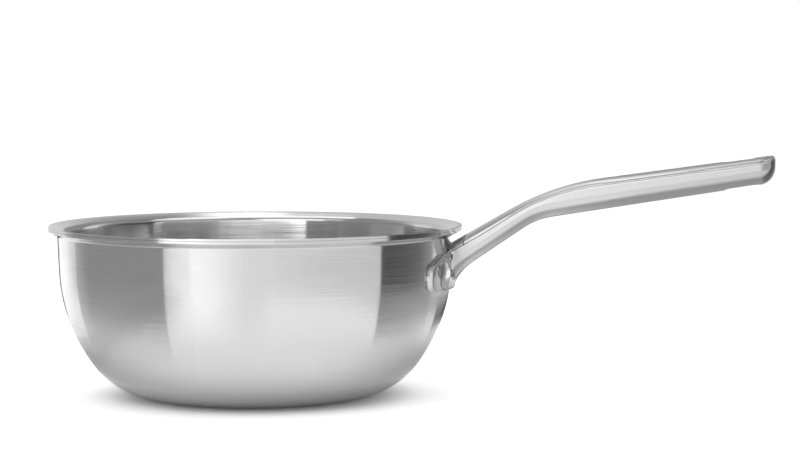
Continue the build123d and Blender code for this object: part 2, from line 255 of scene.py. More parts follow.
def two_runs(reach, knee, slopes, bend):
    """Height at a reach of two straight runs that are joined by an arc at a knee."""
    first, second = slopes
    tangent = bend * tan((first - second) / 2)
    start = knee[0] - tangent * cos(first)
    if reach <= start:
        return knee[1] + (reach - knee[0]) * tan(first)
    if reach >= knee[0] + tangent * cos(second):
        return knee[1] + (reach - knee[0]) * tan(second)
    centre_height = knee[1] - tangent * sin(first) - bend * cos(first)
    return centre_height + sqrt(bend**2 - (reach - start - bend * sin(first)) ** 2)


def spread(reach):
    """From 1 at the flange down to 0 where the stem has its own shape."""
    return min(max((ROOT_REACH + ROOT_LENGTH - reach) / ROOT_LENGTH, 0), 1) ** 3


def under(reach):
    return two_runs(reach, UNDER_KNEE, UNDER_SLOPES, UNDER_BEND) - ROOT_DROP * spread(reach)


def top(reach):
    return two_runs(reach, TOP_KNEE, TOP_SLOPES, TOP_BEND)


def half_width(reach):
    grip = ease(reach, STEM_UNTIL, GRIP_FROM, STEM_WIDTH, GRIP_WIDTH)
    taper = ease(reach, GRIP_FROM, HANDLE_REACH, 0, END_WIDTH - GRIP_WIDTH)
    return (grip + taper) / 2 + ROOT_FLARE * spread(reach)


def crown(reach):
    return ease(reach, STEM_CROWN_UNTIL, GRIP_CROWN_FROM, STEM_CROWN, GRIP_CROWN)


def ridge_half(reach):
    return half_width(reach) - RIDGE_INSET


def crown_height(reach, across):
    """Height of the crowned top at a distance from the handle's middle."""
    half, rise = ridge_half(reach), crown(reach)
    radius = (half**2 + rise**2) / (2 * rise)
    return top(reach) - radius + sqrt(radius**2 - across**2)


def shortfall(reach, tip, corner):
    """How far a rounded corner at the tip has drawn the outline in."""
    past = max(reach - tip + corner, 0)
    return corner - sqrt(max(corner**2 - past**2, 0))


def steps(start, end, count):
    return [start + (end - start) * step / count for step in range(count + 1)]


print("the grip is", round(top(GRIP_FROM) - under(GRIP_FROM), 1), "mm deep where it starts")

# %% Cross sections
BELLY_STEPS, SIDE_STEPS, SHOULDER_STEPS, RIDGE_STEPS, CROWN_STEPS = 20, 5, 8, 8, 14


def body_section(reach, pocket):
    """Right half of the body's section, from the middle of the belly to the middle of the top."""
    half, narrow = half_width(reach), ridge_half(reach)
    middle, high = under(reach) + BELLY, top(reach) - crown(reach)
    land = high - LAND_DROP
    side_top, shoulder = land - SHOULDER_HEIGHT, narrow + LAND_WIDTH
    shoulder_width = half - SHOULDER_LEAN - shoulder
    points = [
        (half * sin(turn), middle - BELLY * cos(turn)) for turn in steps(0, pi / 2, BELLY_STEPS)
    ]
    points += [
        (half - SHOULDER_LEAN * soften(share), middle + (side_top - middle) * share)
        for share in steps(0, 1, SIDE_STEPS)[1:]
    ]
    points += [
        (shoulder + shoulder_width * cos(turn), side_top + SHOULDER_HEIGHT * sin(turn))
        for turn in steps(0, pi / 2, SHOULDER_STEPS)[1:]
    ]
    edge = 0.0
    if pocket:
        side = min(narrow, ridge_half(COVER_TIP))
        edge = side - shortfall(reach, POCKET_TIP, COVER_CORNER + GROOVE) + GROOVE
    if edge > narrow:  # the groove takes the ridge's place, and the spare points are merged later
        points += [(edge, land)] * (RIDGE_STEPS + 2)
    else:
        points += [(narrow, land)]
        points += [(x, crown_height(reach, x)) for x in steps(narrow, edge, RIDGE_STEPS)]
    floor_height = high - COVER_THICK - SEAT_GAP if pocket else top(reach)
    return points + [(edge, floor_height), (0, floor_height)]


def cover_section(reach):
    """Right half of the cover's section, from the middle of its seat up to the crown."""
    side = ridge_half(reach)
    if reach > COVER_TIP - COVER_CORNER:
        side = min(side, ridge_half(COVER_TIP))
    side -= shortfall(reach, COVER_TIP, COVER_CORNER)
    seat = top(reach) - crown(reach) - COVER_THICK
    points = [(0, seat), (side, seat), (side, crown_height(reach, side) - COVER_EDGE)]
    crown_places = steps(side - COVER_EDGE, 0, CROWN_STEPS)
    return points + [(x, crown_height(reach, x)) for x in crown_places]


def ring(reach, half_section):
    """The whole section in space, drawn in where the handle's end is rounded."""
    half, low, high = half_width(reach), under(reach), top(reach)
    narrowing = 1 - shortfall(reach, HANDLE_REACH, END_PLAN_CORNER) / half
    new_low = low + shortfall(reach, HANDLE_REACH, END_LOW_CORNER)
    new_high = high - shortfall(reach, HANDLE_REACH, END_HIGH_CORNER)
    flattening = (new_high - new_low) / (high - low)
    both = half_section + [(-x, y) for x, y in reversed(half_section[1:-1])]
    return [Vector((reach, x * narrowing, new_low + (y - low) * flattening)) * MM for x, y in both]


def skin(rings):
    """A grid that is wrapped through rings of points and closed at both ends."""
    around = len(rings[0])
    select_only()
    bpy.ops.mesh.primitive_grid_add(x_subdivisions=around, y_subdivisions=len(rings) - 1, size=1)
    piece = bpy.context.object
    for index, vertex in enumerate(piece.data.vertices):
        row, column = divmod(index, around + 1)
        vertex.co = rings[row][column % around]
    bpy.ops.object.mode_set(mode="EDIT")
    bpy.ops.mesh.select_all(action="SELECT")
    bpy.ops.mesh.remove_doubles(threshold=MERGE_DISTANCE)
    bpy.ops.mesh.select_all(action="SELECT")
    bpy.ops.mesh.fill_holes(sides=0)
    bpy.ops.mesh.select_all(action="SELECT")
    bpy.ops.mesh.normals_make_consistent(inside=False)
    bpy.ops.object.mode_set(mode="OBJECT")
    return piece


print("a section of the cover has", len(cover_section(GRIP_FROM)), "points on each side")

# %% Where the sections stand
ROOT_SPACING, GRIP_SPACING, LEAST_SPACING = 1.0, 3.0, 0.05
CORNER_STEPS, TIP_STEPS = 14, 24


def reaches(start, end, spacing):
    return steps(start, end, max(2, round((end - start) / spacing)))


def corner_reaches(tip, corner, count):
    """Closer and closer together towards the tip, as the corner turns."""
    return [tip - corner + corner * sin(turn) for turn in steps(0, pi / 2, count)]


def long_reaches(start, tip, corner):
    """From a start near the wall to the tip, where the corner is turned."""
    root_end = ROOT_REACH + ROOT_LENGTH
    places = reaches(start, root_end, ROOT_SPACING)[:-1]
    places += reaches(root_end, tip - corner, GRIP_SPACING)[:-1]
    return places + corner_reaches(tip, corner, CORNER_STEPS)


neck_reaches = reaches(SLEEVE_FROM, POCKET_FROM, ROOT_SPACING)
pocket_reaches = long_reaches(POCKET_FROM, POCKET_TIP, COVER_CORNER + GROOVE)
end_reaches = [POCKET_TIP] + [
    reach
    for reach in corner_reaches(HANDLE_REACH, END_PLAN_CORNER, TIP_STEPS)
    if reach > POCKET_TIP + LEAST_SPACING
]
for stretch, places in (("neck", neck_reaches), ("grip", pocket_reaches), ("end", end_reaches)):
    print("the", stretch, "has", len(places), "sections")

# %% Loft the sleeve and the cover
stretches = ((neck_reaches, False), (pocket_reaches, True), (end_reaches, False))
sleeve = skin(
    [ring(reach, body_section(reach, pocket)) for places, pocket in stretches for reach in places]
)
cover_reaches = long_reaches(COVER_FROM, COVER_TIP, COVER_CORNER)
handle_cover = skin([ring(reach, cover_section(reach)) for reach in cover_reaches])
print("the cover is", round(handle_cover.dimensions.x / MM, 1), "mm long, seen from above")

# %% [markdown]
# ## The hanging slot
#
# The slot hangs the pan on a hook. It could be drawn into the sections, but they would have to
# crowd round it. So it is cut square through both pieces at the end, as a cutter would in the
# foundry's finishing shop, and its lower mouth is broken with a bevel. A stretched cylinder is the
# cutter, and a stretched cone the bevel.

# %% Cut the slot
CUTTER_SIDES = 64
CUTTER_BOTTOM, CUTTER_HEIGHT = -20.0, 60.0


def slot_cutter(low_radius, high_radius, bottom, height):
    """A cylinder or cone stretched along the handle, square to the slot's middle."""
    select_only()
    bpy.ops.mesh.primitive_cone_add(
        vertices=CUTTER_SIDES, radius1=low_radius * MM, radius2=high_radius * MM,
        depth=height * MM, rotation=(0, 0, pi / CUTTER_SIDES),
    )
    cutter = bpy.context.object
    bpy.ops.object.transform_apply(location=False, rotation=True, scale=False)
    stretch = (SLOT_LENGTH - SLOT_WIDTH) / 2 * MM
    for vertex in cutter.data.vertices:
        vertex.co.x += stretch if vertex.co.x > 0 else -stretch
        vertex.co.z += (bottom + height / 2) * MM
    cutter.rotation_euler = (0, -(UNDER_SLOPES[1] + TOP_SLOPES[1]) / 2, 0)
    cutter.location = Vector((SLOT_MIDDLE, 0, under(SLOT_MIDDLE))) * MM
    bpy.ops.object.transform_apply(location=True, rotation=True, scale=False)
    return cutter


def cut_out(piece, cutter):
    select_only(piece)
    modifier = piece.modifiers.new("slot", "BOOLEAN")
    modifier.operation = "DIFFERENCE"
    modifier.solver = "EXACT"
    modifier.object = cutter
    bpy.ops.object.modifier_apply(modifier="slot")


slot = slot_cutter(SLOT_WIDTH / 2, SLOT_WIDTH / 2, CUTTER_BOTTOM, CUTTER_HEIGHT)
slot_bevel = slot_cutter(SLOT_WIDTH / 2 + 2 * SLOT_EDGE, SLOT_WIDTH / 2, 0.0, 2 * SLOT_EDGE)
cut_out(sleeve, slot)
cut_out(sleeve, slot_bevel)
cut_out(handle_cover, slot)
select_only(slot, slot_bevel)
bpy.ops.object.delete()
print("the slot is", SLOT_LENGTH, "mm long and", SLOT_WIDTH, "mm wide")

# %% [markdown]
# ## The flange and the rivets
#
# The flange follows the bowl's wall, and the rivets are turned parts, so their CAD meshes already
# have the right shape. Those are made of loose triangles, each with its own flat normal, so a copy
# is merged and shaded smooth, and only true edges stay sharp. The flange's copy ends where the
# sleeve starts.

# %% Smooth copies of CAD nodes
FLANGE_SHARP_FROM, RIVET_SHARP_FROM = radians(32), radians(40)


def smooth_copy(node, sharp_from):
    """A merged and smoothly shaded copy of a CAD node."""
    select_only(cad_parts[node])
    bpy.ops.object.duplicate()
    piece = bpy.context.object
    piece.data.materials.clear()
    bpy.ops.object.mode_set(mode="EDIT")
    bpy.ops.mesh.select_all(action="SELECT")
    bpy.ops.mesh.remove_doubles(threshold=MERGE_DISTANCE)
    bpy.ops.object.mode_set(mode="OBJECT")
    bpy.ops.object.shade_smooth_by_angle(angle=sharp_from)
    return piece


handle_casting = smooth_copy("handle_casting", FLANGE_SHARP_FROM)
rivet_left = smooth_copy("rivet_left", RIVET_SHARP_FROM)
rivet_right = smooth_copy("rivet_right", RIVET_SHARP_FROM)
print("a rivet's outer head is", round(rivet_left.dimensions.z / MM, 1), "mm high")

# %% Join the flange to the sleeve
HANDLE_SHARP_FROM = radians(28)
select_only(handle_casting)
bpy.ops.object.mode_set(mode="EDIT")
bpy.ops.mesh.select_all(action="SELECT")
bpy.ops.mesh.bisect(
    plane_co=(SLEEVE_FROM * MM, 0, 0), plane_no=(1, 0, 0), use_fill=True, clear_outer=True
)
bpy.ops.object.mode_set(mode="OBJECT")
for piece in (handle_casting, sleeve, handle_cover):
    select_only(piece)
    bpy.ops.object.shade_smooth_by_angle(angle=HANDLE_SHARP_FROM)
select_only(handle_casting, sleeve)
bpy.ops.object.join()
print("the handle's body is", round(handle_casting.dimensions.x / MM, 1), "mm long from above")

# %% [markdown]
# ## Materials
#
# Nearly all that shows of this pan is stainless steel. Only in the rim's cut edge do the aluminium
# plies and the steel core show. A metal has no diffuse colour: what the eye gets is its tint, how
# sharp its reflections are, and which way the finishing marks spread them. So each material below
# is a Principled shader with Metallic at 1 and the default IOR. Colours are written as sRGB hex
# values, as a colour picker shows them, and one function turns them into the linear values that the
# shader works with. One function adds a node with its settings and its links.


# %% Colour and node helpers
def colour(hex_value):
    """Linear RGBA of an sRGB hex value such as c8c8c8."""
    channels = [int(hex_value[at : at + 2], 16) / 255 for at in (0, 2, 4)]
    linear = [c / 12.92 if c <= 0.04045 else ((c + 0.055) / 1.055) ** 2.4 for c in channels]
    return (*linear, 1.0)


def add_node(tree, kind, links=None, values=None, **settings):
    """Adds a node, sets its properties and socket values, and links its inputs.

    A link comes from the socket that is given, or from the first output of a node.
    """
    node = tree.nodes.new(kind)
    for key, value in settings.items():
        setattr(node, key, value)
    for socket, value in (values or {}).items():
        node.inputs[socket].default_value = value
    for socket, source in (links or {}).items():
        if isinstance(source, bpy.types.Node):
            source = source.outputs[0]
        tree.links.new(source, node.inputs[socket])
    return node


def new_material(name, base, roughness, metallic=1.0, anisotropy=0.0):
    """A Principled material with constant values on its own sockets."""
    material = bpy.data.materials.new(name)
    material.use_nodes = True
    tree = material.node_tree
    shader = tree.nodes["Principled BSDF"]
    shader.inputs["Base Color"].default_value = colour(base)
    shader.inputs["Roughness"].default_value = roughness
    shader.inputs["Metallic"].default_value = metallic
    shader.inputs["Anisotropic"].default_value = anisotropy
    return material, tree, shader


# %% [markdown]
# ## Brushed lines
#
# A bowl turns on a spindle while a grit belt or a fibre wheel is held against it, so its scratches
# are fine circles about the axis. An image of scratches would do for one view. Here noise is drawn
# out round the bowl instead, in real millimetres, and each scratch tips the normal up or down but
# never sideways. That is why a brushed wall smears a lamp up and down, and keeps upright edges
# sharp.

# %% Noise drawn out round the bowl
def around_the_bowl(tree, across_per_mm, along_per_mm):
    """Coordinates that change fast across the brushed lines and slowly along them."""
    place = add_node(tree, "ShaderNodeTexCoord").outputs["Object"]
    x, y, z = add_node(tree, "ShaderNodeSeparateXYZ", {0: place}).outputs
    flat = add_node(tree, "ShaderNodeCombineXYZ", {0: x, 1: y})
    radius = add_node(tree, "ShaderNodeVectorMath", {0: flat}, operation="LENGTH").outputs["Value"]
    run = add_node(tree, "ShaderNodeMath", {0: radius, 1: z}, operation="ADD")
    scaled = [
        add_node(tree, "ShaderNodeMath", {0: source}, {1: per_mm / MM}, operation="MULTIPLY")
        for source, per_mm in ((x, along_per_mm), (y, along_per_mm), (run, across_per_mm))
    ]
    return add_node(tree, "ShaderNodeCombineXYZ", dict(enumerate(scaled)))


NOISE_LOW, NOISE_HIGH = 0.28, 0.72  # nearly all of the noise lies between these


def line_noise(tree, lines_per_mm, along_per_mm, tilt):
    """Noise drawn out round the bowl, as a value from -tilt to tilt."""
    noise = add_node(
        tree, "ShaderNodeTexNoise", {"Vector": around_the_bowl(tree, lines_per_mm, along_per_mm)},
        {"Scale": 1.0, "Detail": 2.0, "Roughness": 0.6},
    )
    limits = {"From Min": NOISE_LOW, "From Max": NOISE_HIGH, "To Min": -tilt, "To Max": tilt}
    return add_node(tree, "ShaderNodeMapRange", {"Value": noise}, limits)


# %% Brushed lines as tilted normals
FINE_LINES, COARSE_LINES = 8.0, 0.9  # lines in each millimetre
FINE_CHANGE, COARSE_CHANGE = 0.02, 0.004  # how often a line changes in each millimetre of its run
QUARTER_TURN = 0.25  # turns the anisotropic gloss from along the lines to across them


def groove_normal(tree, fine_tilt, coarse_tilt):
    """A normal that the brushed lines tilt up and down, and never sideways."""
    normal = add_node(tree, "ShaderNodeNewGeometry").outputs["Normal"]
    place = add_node(tree, "ShaderNodeTexCoord").outputs["Object"]
    fine = line_noise(tree, FINE_LINES, FINE_CHANGE, fine_tilt)
    coarse = line_noise(tree, COARSE_LINES, COARSE_CHANGE, coarse_tilt)
    swing = add_node(tree, "ShaderNodeMath", {0: fine, 1: coarse}, operation="ADD")
    axis = add_node(tree, "ShaderNodeCombineXYZ", values={2: 1.0})
    turn = add_node(tree, "ShaderNodeVectorMath", {0: axis, 1: place}, operation="CROSS_PRODUCT")
    run = add_node(tree, "ShaderNodeVectorMath", {0: turn}, operation="NORMALIZE")
    across = add_node(tree, "ShaderNodeVectorMath", {0: run, 1: normal}, operation="CROSS_PRODUCT")
    push = add_node(tree, "ShaderNodeVectorMath", {0: across, "Scale": swing}, operation="SCALE")
    pushed = add_node(tree, "ShaderNodeVectorMath", {0: normal, 1: push}, operation="ADD")
    return add_node(tree, "ShaderNodeVectorMath", {0: pushed}, operation="NORMALIZE")


def brushed_steel(name, base, roughness, fine_tilt, coarse_tilt):
    """Steel whose brushed lines run round the bowl's axis."""
    material, tree, shader = new_material(name, base, roughness, anisotropy=1.0)
    shader.inputs["Anisotropic Rotation"].default_value = QUARTER_TURN
    round_the_axis = add_node(tree, "ShaderNodeTangent", direction_type="RADIAL", axis="Z")
    tree.links.new(round_the_axis.outputs[0], shader.inputs["Tangent"])
    tilted = groove_normal(tree, fine_tilt, coarse_tilt)
    tree.links.new(tilted.outputs[0], shader.inputs["Normal"])
    return material


print("the drawn lines lie", 1 / FINE_LINES, "and", round(1 / COARSE_LINES, 1), "mm apart")

# %% [markdown]
# ## Stainless steel of the bowl
#
# The outside is magnetic 18/0 stainless, ground with a fine belt and then brushed. The inside is
# 18/10 stainless with a satin polish, which is nearer to a mirror, so its scratches are shallower.
# Both are made with the same function, and anisotropic gloss round the axis carries what the drawn
# lines are too coarse to show. Real scratches lie 0.02 to 0.05 mm apart, finer than a pixel of the
# render, so the lines are drawn 0.125 mm and 1.1 mm apart.

# %% Brushed stainless steel, outside
# Belt-ground and brushed: a soft light grey with upright smears of light.
outer_steel = brushed_steel("brushed_stainless_outside", "cfcfcf", 0.15, 0.11, 0.006)

# %% Satin stainless steel, inside
# Satin polished: darker, because the bowl sees itself, with cleaner edges to what it reflects.
inner_steel = brushed_steel("satin_stainless_inside", "cfcfcf", 0.13, 0.09, 0.004)

# %% [markdown]
# ## The other metals
#
# The rim is cut and then polished with the pan, so the aluminium and the steel core show there as
# nearly mirror-bright stripes, the softer aluminium a little paler. The handle is an investment
# casting, tumbled with ceramic stones and buffed by hand: even and silky, with no direction. The
# rivets are headed cold and polished, so they shine more than the handle. None of these finishes
# has marks that a render of this size could show, so a plain tint and roughness are enough.

# %% Cut edges, casting and rivets
# Polished carbon-steel core: a slightly darker stripe between the two of aluminium.
core_steel, _, _ = new_material("cut_steel_core", "a8a8a8", 0.16)
# Polished cut aluminium: pale and bright.
aluminium, _, _ = new_material("cut_aluminium", "dedede", 0.13)
# Tumbled and buffed casting: soft highlights along the shoulders.
cast_steel, _, _ = new_material("polished_cast_stainless", "c9c9c9", 0.3)
# Polished rivet heads: small bright highlights.
rivet_steel, _, _ = new_material("polished_rivet_stainless", "d8d8d8", 0.18)

for material in (outer_steel, inner_steel, core_steel, aluminium, cast_steel, rivet_steel):
    shader = material.node_tree.nodes["Principled BSDF"]
    print(material.name, "has roughness", round(shader.inputs["Roughness"].default_value, 3))

# %% [markdown]
# ## Finishing the pieces
#
# Each made piece takes its material, then stands for its CAD node. The node stays in the scene,
# hidden, and the new piece is what the eye sees.

# %% Give each piece its finish
SLOT_MATERIALS = {
    "outer_steel": outer_steel,
    "inner_steel": inner_steel,
    "core_steel": core_steel,
    "aluminium": aluminium,
    "cast_steel": cast_steel,
    "rivet_steel": rivet_steel,
}


def finish_piece(piece, name, slot, node):
    """Names a piece and gives it its metal; it rides on the pan and stands for a CAD node."""
    piece.name = piece.data.name = name
    piece.data.materials.append(SLOT_MATERIALS[slot])
    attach(piece, "root")
    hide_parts(node)
    print(name, "has", len(piece.data.polygons), "faces")


PLY_FINISHES = (
    ("outer_shell", "bowl_outside", "outer_steel"),
    ("outer_aluminium", "outer_aluminium_ply", "aluminium"),
    ("steel_core", "steel_core_ply", "core_steel"),
    ("inner_aluminium", "inner_aluminium_ply", "aluminium"),
    ("inner_liner", "bowl_inside", "inner_steel"),
)
for node, name, slot_name in PLY_FINISHES:
    finish_piece(ply_pieces[node], name, slot_name, node)
finish_piece(handle_casting, "handle_body", "cast_steel", "handle_casting")
finish_piece(handle_cover, "handle_top_cover", "cast_steel", "handle_cover")
finish_piece(rivet_left, "near_rivet", "rivet_steel", "rivet_left")
finish_piece(rivet_right, "far_rivet", "rivet_steel", "rivet_right")

# %% [markdown]
# ## The studio
#
# Bright steel has hardly any colour of its own: it shows the room. The room is a white sweep. Dark
# cards to the left and the right put the dark bands on the bowl, and a soft box in front and one
# overhead light the steel and draw the bright lines on the rim and the handle. A lamp close to the
# wall could make the same patches, but it would burn out the pale ones. Cards that only show in
# reflections leave the light on the pan plain.

# %% Helpers for the studio
CAMERA_TURN = radians(9)
TOP_LEVEL = 2.0


def studio_place(azimuth, distance, height=0.0):
    """A point round the pan; azimuth 0 is towards the viewer and grows to the viewer's right."""
    turn = radians(azimuth) + CAMERA_TURN
    return Vector((distance * sin(turn), -distance * cos(turn), height))


def graded(tree, source, stops):
    """A level that goes through (place, level) stops along the source.

    A ramp holds no more than 1, so it holds each level as a share of TOP_LEVEL.
    """
    shares = add_node(tree, "ShaderNodeValToRGB", {0: source})
    elements = shares.color_ramp.elements
    while len(elements) < len(stops):
        elements.new(0.5)  # its real place is set below
    for element, (place, level) in zip(elements, stops):
        share = level / TOP_LEVEL
        element.position = place
        element.color = (share, share, share, 1)
    return add_node(tree, "ShaderNodeMath", {0: shares}, {1: TOP_LEVEL}, operation="MULTIPLY")


print("the view is turned by", round(CAMERA_TURN * 180 / pi, 1), "degrees")

# %% [markdown]
# ## Floor and room
#
# The floor is white paper that keeps the pan's soft shadow. What the camera and the steel see of it
# glows by a ramp over the distance from the pan's axis. For the camera the glow lifts the paper to
# white away from the pan and stays low close to it, so painted shade deepens the real shadow round
# the foot. For the steel the glow is brightest in a ring near the pan: a painted reflection in the
# wall's lower part. More lamps would whiten it too, but they would burn out the steel. The room is
# white as well, and dimmer overhead, which gives the rim, the handle and the inside their shades of
# grey.

# %% Floor
FLOOR_SIZE = 12.0
# The first ramp is the glow that the camera sees: low near the pan, so it paints shade round the
# foot over the real shadow. The second is a glow that only the steel sees: a painted reflection of
# a lit ring of floor.
FLOOR_GLOW_WITH_PAINTED_SHADE = ((0.080, 0.09), (0.092, 0.22), (0.104, 0.38), (0.12, 0.42))
FLOOR_PAINTED_REFLECTION_GLOW = ((0.088, 0.0), (0.118, 0.36), (0.15, 0.31), (0.36, 0.27), (0.46, 0.0))
select_only()
bpy.ops.mesh.primitive_plane_add(size=FLOOR_SIZE)
floor = bpy.context.object
floor.name = "studio_floor"
floor_material, tree, shader = new_material("white_paper_painted_shade_and_glow", "f4f4f4", 0.7, metallic=0.0)
path = add_node(tree, "ShaderNodeLightPath").outputs
place = add_node(tree, "ShaderNodeTexCoord").outputs["Object"]
reach = add_node(tree, "ShaderNodeVectorMath", {0: place}, operation="LENGTH").outputs["Value"]
direct = add_node(
    tree, "ShaderNodeMath", {0: path["Is Camera Ray"], 1: path["Is Transmission Ray"]},
    operation="ADD",
)
# Glow that the camera sees, low near the pan: painted shade round the foot.
seen = add_node(
    tree, "ShaderNodeMath", {0: direct, 1: graded(tree, reach, FLOOR_GLOW_WITH_PAINTED_SHADE)}, operation="MULTIPLY"
)
# Glow that only the steel sees, brightest in a ring near the pan: a painted reflection in the
# wall's lower part.
mirrored = add_node(
    tree, "ShaderNodeMath",
    {0: path["Is Glossy Ray"], 1: graded(tree, reach, FLOOR_PAINTED_REFLECTION_GLOW)}, operation="MULTIPLY",
)
painted_floor_glow = add_node(tree, "ShaderNodeMath", {0: seen, 1: mirrored}, operation="ADD")
shader.inputs["Emission Color"].default_value = colour("ffffff")
tree.links.new(painted_floor_glow.outputs[0], shader.inputs["Emission Strength"])
floor.data.materials.append(floor_material)
print(floor.name, "is", floor.dimensions.x, "m wide")

# %% Room
ROOM_LIGHT = 0.75  # what lights the pan
CEILING = 0.3  # what the steel sees overhead, where the walls are 1
ROOM_SEEN = ((0.30, 1.0), (0.75, CEILING))
world = bpy.data.worlds.new("white_room")
bpy.context.scene.world = world
world.use_nodes = True
tree = world.node_tree
background = tree.nodes["Background"]
background.inputs["Color"].default_value = colour("ffffff")
path = add_node(tree, "ShaderNodeLightPath").outputs
direct = add_node(
    tree, "ShaderNodeMath", {0: path["Is Camera Ray"], 1: path["Is Glossy Ray"]}, operation="ADD"
)
seen = add_node(
    tree, "ShaderNodeMath", {0: direct, 1: path["Is Transmission Ray"]}, operation="ADD"
)
way = add_node(tree, "ShaderNodeTexCoord").outputs["Generated"]
height = add_node(tree, "ShaderNodeSeparateXYZ", {0: way}).outputs["Z"]
strength = add_node(
    tree, "ShaderNodeMapRange", {"Value": seen, "To Max": graded(tree, height, ROOM_SEEN)},
    {"To Min": ROOM_LIGHT},
)
tree.links.new(strength.outputs[0], background.inputs["Strength"])
print("the room lights the pan at strength", ROOM_LIGHT)

# %% [markdown]
# ## Graded cards
#
# A brushed wall draws each reflection out up and down, but keeps it sharp from side to side, so the
# edges of the dark bands tell where the studio's cards stood. Each card on the floor is laid out
# from the wall: a ray from the camera is mirrored at a place on the bowl, and the card's point is
# where it lands. So a band lies where it should on the wall, and the cards stay put in the room.

# %% Where the wall mirrors the camera's ray
CAMERA_PLACE = Vector((0.3183, -1.4349, 0.2064))
CARD_LIFT = 0.001
wall_start = side_centre + wall_out * SIDE_BEND


def wall_at(height):
    """Radius of the bowl's outside at a height, and the angle by which its normal looks down."""
    if height > wall_start.y:
        return wall_start.x + (height - wall_start.y) * tan(WALL_DRAFT), WALL_DRAFT
    centre, bend = side_centre, SIDE_BEND
    if height < base_centre.y + BASE_BEND * sin(joint_angle):
        centre, bend = base_centre, BASE_BEND
    fall = asin((centre.y - height) / bend)
    return centre.x + bend * cos(fall), fall


def mirrored_floor(turn, height):
    """Where a ray from the camera lands on the floor, once the wall has mirrored it."""
    radius, fall = wall_at(height)
    point = studio_place(turn, radius * MM, height * MM)
    normal = studio_place(turn, cos(fall), -sin(fall))
    ray = (point - CAMERA_PLACE).normalized()
    bounce = ray - 2 * ray.dot(normal) * normal
    landing = point + bounce * (-point.z / bounce.z)
    return Vector((landing.x, landing.y, CARD_LIFT))


print("the straight wall's foot is mirrored at", mirrored_floor(0, wall_start.y))

# %% Making a graded card
CARD_CELLS = 32


def even(level):
    """The same level from one end to the other."""
    return ((0.0, level), (1.0, level))


WHOLE = even(1.0)


def between(ends, share):
    return ends[0] + (ends[1] - ends[0]) * share


def graded_card(name, place, level, cover=(WHOLE, WHOLE)):
    """A glowing card that only shows in reflections, which it paints; its level and cover are
    graded both ways.
    """
    select_only()
    bpy.ops.mesh.primitive_grid_add(x_subdivisions=CARD_CELLS, y_subdivisions=CARD_CELLS, size=1)
    card = bpy.context.object
    card.name = name
    for index, vertex in enumerate(card.data.vertices):
        row, column = divmod(index, CARD_CELLS + 1)
        vertex.co = place(column / CARD_CELLS, row / CARD_CELLS)
    material = bpy.data.materials.new(name + "_glow_painting_reflection")
    material.use_nodes = True
    tree = material.node_tree
    tree.nodes.remove(tree.nodes["Principled BSDF"])
    spot = add_node(tree, "ShaderNodeTexCoord").outputs["UV"]
    split = add_node(tree, "ShaderNodeSeparateXYZ", {0: spot}).outputs
    strength, share = (
        add_node(
            tree, "ShaderNodeMath",
            {0: graded(tree, split[0], sideways), 1: graded(tree, split[1], upwards)},
            operation="MULTIPLY",
        )
        for sideways, upwards in (level, cover)
    )
    # The card glows at its level and is lit by nothing: a painted reflection, seen only in the
    # steel.
    glow = add_node(tree, "ShaderNodeEmission", {"Strength": strength})
    clear = add_node(tree, "ShaderNodeBsdfTransparent")
    mixed = add_node(tree, "ShaderNodeMixShader", {0: share, 1: clear, 2: glow})
    tree.links.new(mixed.outputs[0], tree.nodes["Material Output"].inputs["Surface"])
    card.data.materials.append(material)
    card.visible_camera = card.visible_diffuse = card.visible_shadow = False
    print(name, "stands in the studio, seen only in the steel")


# %% Cards on the floor
CARD_GAP = 0.0003
BAND_HEIGHTS = (34.0, 104.0)
EVEN_UP = tuple((height, 1.0) for height in BAND_HEIGHTS)
laid_cards = []


def wall_card(name, turns, level, cover, heights=BAND_HEIGHTS):
    """A card on the floor that the wall shows between two turns and two heights.

    Level and cover each have stops across the card, from 0 to 1, and stops up the wall, in mm.
    """
    laid_cards.append(name)
    above = Vector((0, 0, CARD_GAP * len(laid_cards)))  # cards that overlap never share a plane

    def place(sideways, upwards):
        return mirrored_floor(between(turns, sideways), between(heights, upwards)) + above

    def shares(stops):
        span = heights[1] - heights[0]
        return [((height - heights[0]) / span, value) for height, value in stops]

    graded_card(name, place, (level[0], shares(level[1])), (cover[0], shares(cover[1])))


# %% [markdown]
# ## Bands and patches on the outside
#
# The wall shows two upright dark bands, a pool of light beside the left one, a near-black line down
# each side, and shade at its foot. Painted on, they would turn with the pan, so they are cards on
# the floor. The brushed lines tip some reflections up past the floor's cards, so others stand
# behind those of the bands and the pool.

# %% Dark bands and the pool of light beside the left one
LEFT_TURNS, POOL_TURNS, RIGHT_TURNS = (-22.3, -58), (-22.3, 8), (40, 64)
wall_card(
    "left_floor_card", LEFT_TURNS,
    level=(((0.0, 0.40), (0.8, 0.39), (1.0, 0.6)), ((60.0, 1.15), (78.0, 1.05), (90.0, 0.86))),
    cover=(WHOLE, ((38.0, 0.12), (46.0, 0.35), (56.0, 0.8), (64.0, 1.0))),
)
wall_card(
    "right_floor_card", RIGHT_TURNS,
    level=(
        ((0.0, 0.12), (0.4, 0.15), (0.7, 0.25), (1.0, 0.5)),
        ((60.0, 1.6), (78.0, 1.0), (90.0, 0.6)),
    ),
    cover=(WHOLE, ((40.0, 0.0), (50.0, 0.5), (62.0, 0.9), (70.0, 1.0))),
)
POOL_LEVELS = (
    (0.0, 0.95), (0.08, 1.18), (0.18, 1.45), (0.3, 1.62),
    (0.45, 1.54), (0.6, 1.32), (0.75, 1.12), (1.0, 0.98),
)
wall_card(
    "pool_of_light", POOL_TURNS,
    level=(POOL_LEVELS, ((45.0, 0.88), (60.0, 0.92), (90.0, 1.0))),
    cover=(((0.75, 1.0), (1.0, 0.0)), ((42.0, 0.0), (72.0, 1.0))),
)

